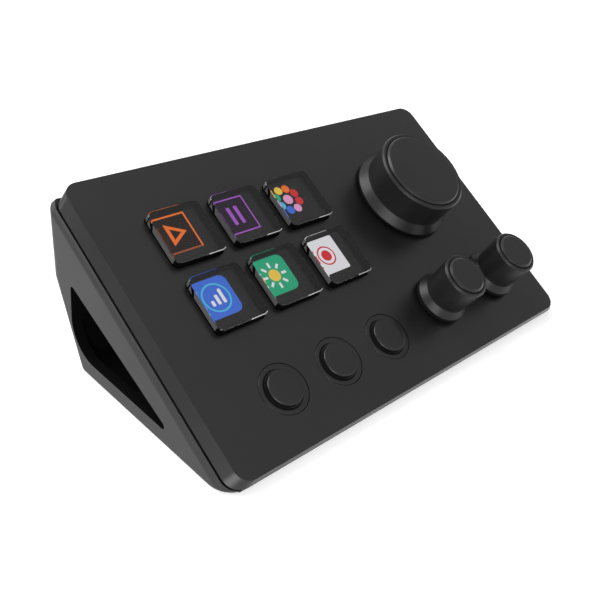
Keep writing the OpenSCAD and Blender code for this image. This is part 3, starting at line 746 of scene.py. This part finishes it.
JOINT_LEVEL = -COVER_THICK - JOINT_HEIGHT
JOINT_NEAR = 0.03
BEVEL_LEAN = (0.2, 0.9)
UPRIGHT_LEAN = 0.05
BEVEL_ACROSS = 0.79
LIP_OUT = 0.12
LIP_DOWN = 0.157
FLOOR_OUT = 0.5
FLOOR_DOWN = 2.0
SIDE_WALL = 0.995
SIDE_WALL_AREA = 100 * MM * MM
SIDE_ROUND = 0.45
SLOPE_ACROSS = (0.3, 0.95)
SLOPE_UP = 0.3
SIDE_EDGE_NEAR = 0.2
SIDE_SKIN = 0.3
HOLLOW_SPAN = (-14, 31)
HOLLOW_LOW = 1.2
HOLLOW_HIGH = -7
REAR_WALL_FROM = 20
MERGE_DIST = 2e-6
WHOLE_FACE_ANGLE = 0.6
EASE_ANGLE = 28.0


def height_over_face(point):
    """How far a point of the frame, in metres, stands out of the sloping face, in millimetres."""
    return (point / MM - Vector((0, -HALF_DEPTH, FRONT_HEIGHT))).dot(FACE_OUT)


def open_joint(shape):
    """Lowers the joint's lip along its bevel at the sides and tilts its floor down inwards."""
    moves = []
    for vert in shape.verts:
        if abs(height_over_face(vert.co) - JOINT_LEVEL) > JOINT_NEAR:
            continue
        normals = [face.normal for face in vert.link_faces]
        slanted = [normal for normal in normals
                   if BEVEL_LEAN[0] < normal.dot(FACE_OUT) < BEVEL_LEAN[1]]
        upright = [normal for normal in normals if abs(normal.dot(FACE_OUT)) < UPRIGHT_LEAN]
        if slanted:
            across = sum(abs(normal.x) for normal in slanted) / len(slanted)
            moves.append((vert, min(1.0, across / BEVEL_ACROSS), LIP_OUT, LIP_DOWN))
        elif upright:
            share = max(abs(normal.x) for normal in upright)
            moves.append((vert, share, FLOOR_OUT, FLOOR_DOWN))
    for vert, share, out, down in moves:
        side = math.copysign(1, vert.co.x)
        vert.co += (FACE_RIGHT * side * out - FACE_OUT * down) * share * MM


def round_side_edges(shape):
    """Rounds the long edge between the side walls and the bevel above them."""
    chosen = []
    for edge in shape.edges:
        if len(edge.link_faces) != 2:
            continue
        walls = [face for face in edge.link_faces if abs(face.normal.x) > SIDE_WALL]
        slopes = [face for face in edge.link_faces
                  if SLOPE_ACROSS[0] < abs(face.normal.x) < SLOPE_ACROSS[1]
                  and face.normal.dot(FACE_OUT) > SLOPE_UP]
        middle = (edge.verts[0].co + edge.verts[1].co) / 2
        if walls and slopes and abs(middle.x) > (HALF_WIDTH - SIDE_EDGE_NEAR) * MM:
            chosen.append(edge)
    bmesh.ops.bevel(shape, geom=chosen, offset=SIDE_ROUND * MM, segments=4, profile=0.5,
                    affect="EDGES", clamp_overlap=True)


def in_hollow(face):
    """True for the faces inside the side hollows, away from the outer skin."""
    middle = face.calc_center_median() / MM
    front, rear = HOLLOW_SPAN
    outer_rear = face.normal.y > 0.3 and middle.y > REAR_WALL_FROM
    return (abs(middle.x) < HALF_WIDTH - SIDE_SKIN and middle.z > HOLLOW_LOW
            and front < middle.y < rear
            and height_over_face(middle * MM) < HOLLOW_HIGH and not outer_rear)


def keep_walls_flat(mesh):
    """Marks the outline of the two side walls as sharp, so that they shade evenly."""
    outline = set()
    for face in mesh.polygons:
        if abs(face.normal.x) > SIDE_WALL and face.area > SIDE_WALL_AREA:
            outline.update(face.edge_keys)
    for edge in mesh.edges:
        if edge.key in outline:
            edge.use_edge_sharp = True


def softened(node, name, materials, width, is_housing=False):
    """A copy of a shell of the part whose flat faces are whole and whose edges are eased."""
    shape = bmesh.new()
    shape.from_mesh(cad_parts[node].data)
    bmesh.ops.remove_doubles(shape, verts=shape.verts[:], dist=MERGE_DIST)
    shape.normal_update()
    if is_housing:
        open_joint(shape)
        shape.normal_update()
    bmesh.ops.dissolve_limit(shape, angle_limit=math.radians(WHOLE_FACE_ANGLE),
                             verts=shape.verts[:], edges=shape.edges[:], delimit={"NORMAL"})
    if is_housing:
        round_side_edges(shape)
        shape.normal_update()
        # The faces deep in the side hollows take the near black material: painted shade.
        for face in shape.faces:
            face.material_index = int(in_hollow(face))
    mesh = smooth_mesh(name, shape, materials, EASE_ANGLE)
    if is_housing:
        keep_walls_flat(mesh)
    piece = new_object(name, mesh)
    bevel = piece.modifiers.new("eased_edges", "BEVEL")
    bevel.width = width * MM
    bevel.segments = 2
    bevel.limit_method = "ANGLE"
    bevel.angle_limit = math.radians(EASE_ANGLE)
    bevel.harden_normals = True
    bevel.use_clamp_overlap = True
    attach(piece, "base")
    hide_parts(node)


softened("face_cover", "sloping_face", [FACE_BLACK], 0.08)
softened("housing", "wedge_housing", [HOUSING_BLACK, HOLLOW_PAINTED_SHADE], 0.09, is_housing=True)

# ---------------------------------------------------------------- feet and inlet contacts

FOOT_RINGS = ((2.5, 2.1), (1.3, 0.9))
FOOT_RING_DEEP = 0.18
FOOT_RING_LEAN = 0.05
FOOT_RING_SOFT = 0.04
FOOT_STEPS = 64
FOOT_FILLET_STEPS = 3
CONTACT_ROW = {
    "Contacts": 12, "Pitch": 0.5 * MM, "Width": 0.25 * MM, "Length": 3.6 * MM,
    "Thickness": 0.05 * MM,
}
CONTACT_INSET = 0.3 * MM


def build_feet():
    """Four rubber feet with rings moulded into their undersides."""
    low, high = [Vector(corner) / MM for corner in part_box("rubber_feet")]
    tall = high.z - low.z
    profile = [(0, tall, 0), (FOOT_R, tall, 0), (FOOT_R, 0, 0.2)]
    for outer, inner in FOOT_RINGS:
        profile += [(outer, 0, FOOT_RING_SOFT),
                    (outer - FOOT_RING_LEAN, FOOT_RING_DEEP, FOOT_RING_SOFT),
                    (inner + FOOT_RING_LEAN, FOOT_RING_DEEP, FOOT_RING_SOFT),
                    (inner, 0, FOOT_RING_SOFT)]
    profile.append((0, 0, 0))
    shape = bmesh.new()
    for x in (low.x + FOOT_R, high.x - FOOT_R):
        for y in (low.y + FOOT_R, high.y - FOOT_R):
            turned(shape, rounded(profile, FOOT_FILLET_STEPS), (x, y), FOOT_STEPS)
    bmesh.ops.translate(shape, vec=(0, 0, low.z), verts=shape.verts[:])
    make_piece("ringed_feet", shape, [FOOT_RUBBER], "base", sharp=35.0, node="rubber_feet",
               place=IN_METRES)


def contact_row_nodes():
    """Geometry nodes that lay flat gold contacts in a row, with named sizes."""
    tree = bpy.data.node_groups.new("inlet_contact_row", "GeometryNodeTree")
    tree.interface.new_socket(name="Geometry", in_out="OUTPUT",
                              socket_type="NodeSocketGeometry")
    handles = {}
    for name, value in CONTACT_ROW.items():
        kind = "NodeSocketInt" if isinstance(value, int) else "NodeSocketFloat"
        socket = tree.interface.new_socket(name=name, in_out="INPUT", socket_type=kind)
        handles[name] = socket.identifier
    nodes, links = tree.nodes, tree.links
    given = nodes.new("NodeGroupInput")
    step = nodes.new("ShaderNodeCombineXYZ")
    links.new(given.outputs["Pitch"], step.inputs["X"])
    row = nodes.new("GeometryNodeMeshLine")
    row.mode = "OFFSET"
    links.new(given.outputs["Contacts"], row.inputs["Count"])
    links.new(step.outputs[0], row.inputs["Offset"])
    size = nodes.new("ShaderNodeCombineXYZ")
    for axis, name in zip("XYZ", ("Width", "Length", "Thickness")):
        links.new(given.outputs[name], size.inputs[axis])
    blade = nodes.new("GeometryNodeMeshCube")
    links.new(size.outputs[0], blade.inputs["Size"])
    laid = nodes.new("GeometryNodeInstanceOnPoints")
    links.new(row.outputs["Mesh"], laid.inputs["Points"])
    links.new(blade.outputs["Mesh"], laid.inputs["Instance"])
    real = nodes.new("GeometryNodeRealizeInstances")
    links.new(laid.outputs["Instances"], real.inputs["Geometry"])
    gold = nodes.new("GeometryNodeSetMaterial")
    set_inputs(gold, {"Material": CONTACT_GOLD})
    links.new(real.outputs["Geometry"], gold.inputs["Geometry"])
    out = nodes.new("NodeGroupOutput")
    links.new(gold.outputs["Geometry"], out.inputs["Geometry"])
    return tree, handles


def build_contacts():
    """Gold contacts on both sides of the tongue in the inlet."""
    low, high = [Vector(corner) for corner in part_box("usb_tongue")]
    tree, handles = contact_row_nodes()
    row_start = -(CONTACT_ROW["Contacts"] - 1) * CONTACT_ROW["Pitch"] / 2
    row_y = high.y - CONTACT_ROW["Length"] / 2 - CONTACT_INSET
    for side, row_z in (("upper", high.z), ("lower", low.z)):
        carrier = new_object(side + "_row", bpy.data.meshes.new(side + "_row"))
        maker = carrier.modifiers.new("row", "NODES")
        maker.node_group = tree
        for name, value in CONTACT_ROW.items():
            maker[handles[name]] = value
        made = carrier.evaluated_get(bpy.context.evaluated_depsgraph_get())
        mesh = bpy.data.meshes.new_from_object(made)
        bpy.data.objects.remove(carrier)
        mesh.transform(Matrix.Translation((row_start, row_y, row_z)))
        mesh.name = side + "_inlet_contacts"
        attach(new_object(mesh.name, mesh), "base")


build_feet()
build_contacts()

# ---------------------------------------------------------------- the part's own nodes

FINISHES = {
    "main_board": BOARD_GREEN, "usb_board": BOARD_GREEN, "controller_chip": CHIP_BLACK,
    "display_panel": DISPLAY_BLACK_PAINTED_GLOW, "key_mat": MAT_RUBBER, "usb_socket": INLET_STEEL,
    "usb_tongue": INLET_BLACK, "board_screws": SCREW_STEEL,
}
for which in KNOBS:
    FINISHES[which + "_encoder"] = SWITCH_GREY
    FINISHES[which + "_plunger"] = SHAFT_METAL
    FINISHES[which + "_shaft"] = SHAFT_METAL
for i in range(3):
    FINISHES["button_switch_%d" % (i + 1)] = SWITCH_GREY
for node, material in FINISHES.items():
    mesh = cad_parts[node].data
    mesh.materials.clear()
    mesh.materials.append(material)

# ---------------------------------------------------------------- floor, light and camera

DIM_SIDE = (0.93, 0.0, 0.37)
DIM_RANGE = {"From Min": 0.65, "From Max": 1.0, "To Min": 0.97, "To Max": 0.48}
FILL_LEVEL = 0.8
FLOOR_GLOSS = 0.55
FLOOR_COLOUR = (0.6, 0.6, 0.6, 1)
FLOOR_HALF = 3.0
WHITE_LIGHT = (1, 1, 1, 1)
OBJECT_MIDDLE = Vector((0, 0, 0.02))


def either_ray(nodes, links, kinds):
    """1 for rays of the given kinds and 0 for all others."""
    path = nodes.new("ShaderNodeLightPath")
    level = path.outputs[kinds[0]]
    for kind in kinds[1:]:
        larger = nodes.new("ShaderNodeMath")
        larger.operation = "MAXIMUM"
        links.new(level, larger.inputs[0])
        links.new(path.outputs[kind], larger.inputs[1])
        level = larger.outputs[0]
    return level


def build_floor():
    """A plain floor that reads as pale where it is seen, also in gloss and through the keys."""
    material, nodes, links, shader = new_material("pale_floor")
    nodes.remove(shader)
    seen = either_ray(nodes, links, ("Is Camera Ray", "Is Glossy Ray", "Is Transmission Ray"))
    level = nodes.new("ShaderNodeMath")
    level.operation = "MULTIPLY"
    level.inputs[1].default_value = FLOOR_GLOSS
    links.new(seen, level.inputs[0])
    glow = nodes.new("ShaderNodeEmission")
    links.new(level.outputs[0], glow.inputs["Strength"])
    diffuse = nodes.new("ShaderNodeBsdfDiffuse")
    set_inputs(diffuse, {"Color": FLOOR_COLOUR})
    both = nodes.new("ShaderNodeAddShader")
    links.new(glow.outputs[0], both.inputs[0])
    links.new(diffuse.outputs[0], both.inputs[1])
    output = next(node for node in nodes if node.type == "OUTPUT_MATERIAL")
    links.new(both.outputs[0], output.inputs["Surface"])
    shape = bmesh.new()
    bmesh.ops.create_grid(shape, x_segments=1, y_segments=1, size=FLOOR_HALF)
    mesh = bpy.data.meshes.new("floor")
    shape.to_mesh(mesh)
    shape.free()
    mesh.materials.append(material)
    new_object("floor", mesh)


def chosen_shader(nodes, links, choice, otherwise, chosen):
    """The chosen shader where the choice is 1, and the other one where it is 0."""
    mix = nodes.new("ShaderNodeMixShader")
    links.new(choice, mix.inputs[0])
    links.new(otherwise.outputs[0], mix.inputs[1])
    links.new(chosen.outputs[0], mix.inputs[2])
    return mix


def build_world():
    """White where the camera sees it, an even fill elsewhere; in gloss it dims to the right."""
    world = bpy.data.worlds.new("studio")
    bpy.context.scene.world = world
    world.use_nodes = True
    nodes, links = world.node_tree.nodes, world.node_tree.links
    nodes.clear()
    coord = nodes.new("ShaderNodeTexCoord")
    towards = nodes.new("ShaderNodeVectorMath")
    towards.operation = "DOT_PRODUCT"
    towards.inputs[1].default_value = DIM_SIDE
    links.new(coord.outputs["Generated"], towards.inputs[0])
    dimmed = nodes.new("ShaderNodeMapRange")
    dimmed.interpolation_type = "SMOOTHSTEP"
    set_inputs(dimmed, DIM_RANGE)
    links.new(towards.outputs["Value"], dimmed.inputs["Value"])
    fill, gloss, white = [nodes.new("ShaderNodeBackground") for _ in range(3)]
    for background in (fill, gloss, white):
        set_inputs(background, {"Color": WHITE_LIGHT})
    set_inputs(fill, {"Strength": FILL_LEVEL})
    links.new(dimmed.outputs["Result"], gloss.inputs["Strength"])
    path = nodes.new("ShaderNodeLightPath")
    unseen = chosen_shader(nodes, links, path.outputs["Is Glossy Ray"], fill, gloss)
    whole = chosen_shader(nodes, links, path.outputs["Is Camera Ray"], unseen, white)
    out = nodes.new("ShaderNodeOutputWorld")
    links.new(whole.outputs[0], out.inputs["Surface"])


def soft_light(name, towards, distance, size, power):
    """A square soft light that shines on the object from the given direction."""
    data = bpy.data.lights.new(name, "AREA")
    data.shape = "SQUARE"
    data.size = size
    data.energy = power
    lamp = new_object(name, data)
    direction = Vector(towards).normalized()
    lamp.location = direction * distance + OBJECT_MIDDLE
    lamp.rotation_mode = "QUATERNION"
    lamp.rotation_quaternion = direction.to_track_quat("Z", "Y")


def place_camera(at, turn, lens):
    """The camera at the photo's angle, with its turn in degrees and its lens in millimetres."""
    data = bpy.data.cameras.new("camera")
    data.sensor_width = 36.0
    data.lens = lens
    data.clip_start = 0.01
    data.clip_end = 20.0
    camera = new_object("camera", data)
    camera.location = at
    camera.rotation_mode = "XYZ"
    camera.rotation_euler = [math.radians(angle) for angle in turn]
    bpy.context.scene.camera = camera


build_floor()
build_world()
soft_light("key_light", (-0.38, 0.56, 0.74), distance=0.9, size=0.6, power=6.5)
soft_light("side_fill", (-0.75, -0.64, 0.12), distance=0.35, size=0.24, power=0.85)
place_camera(at=(-0.136742, -0.110147, 0.114325), turn=(58.0872, -6.8064, -44.2627), lens=48.02)
bpy.context.scene.view_settings.view_transform = "Standard"
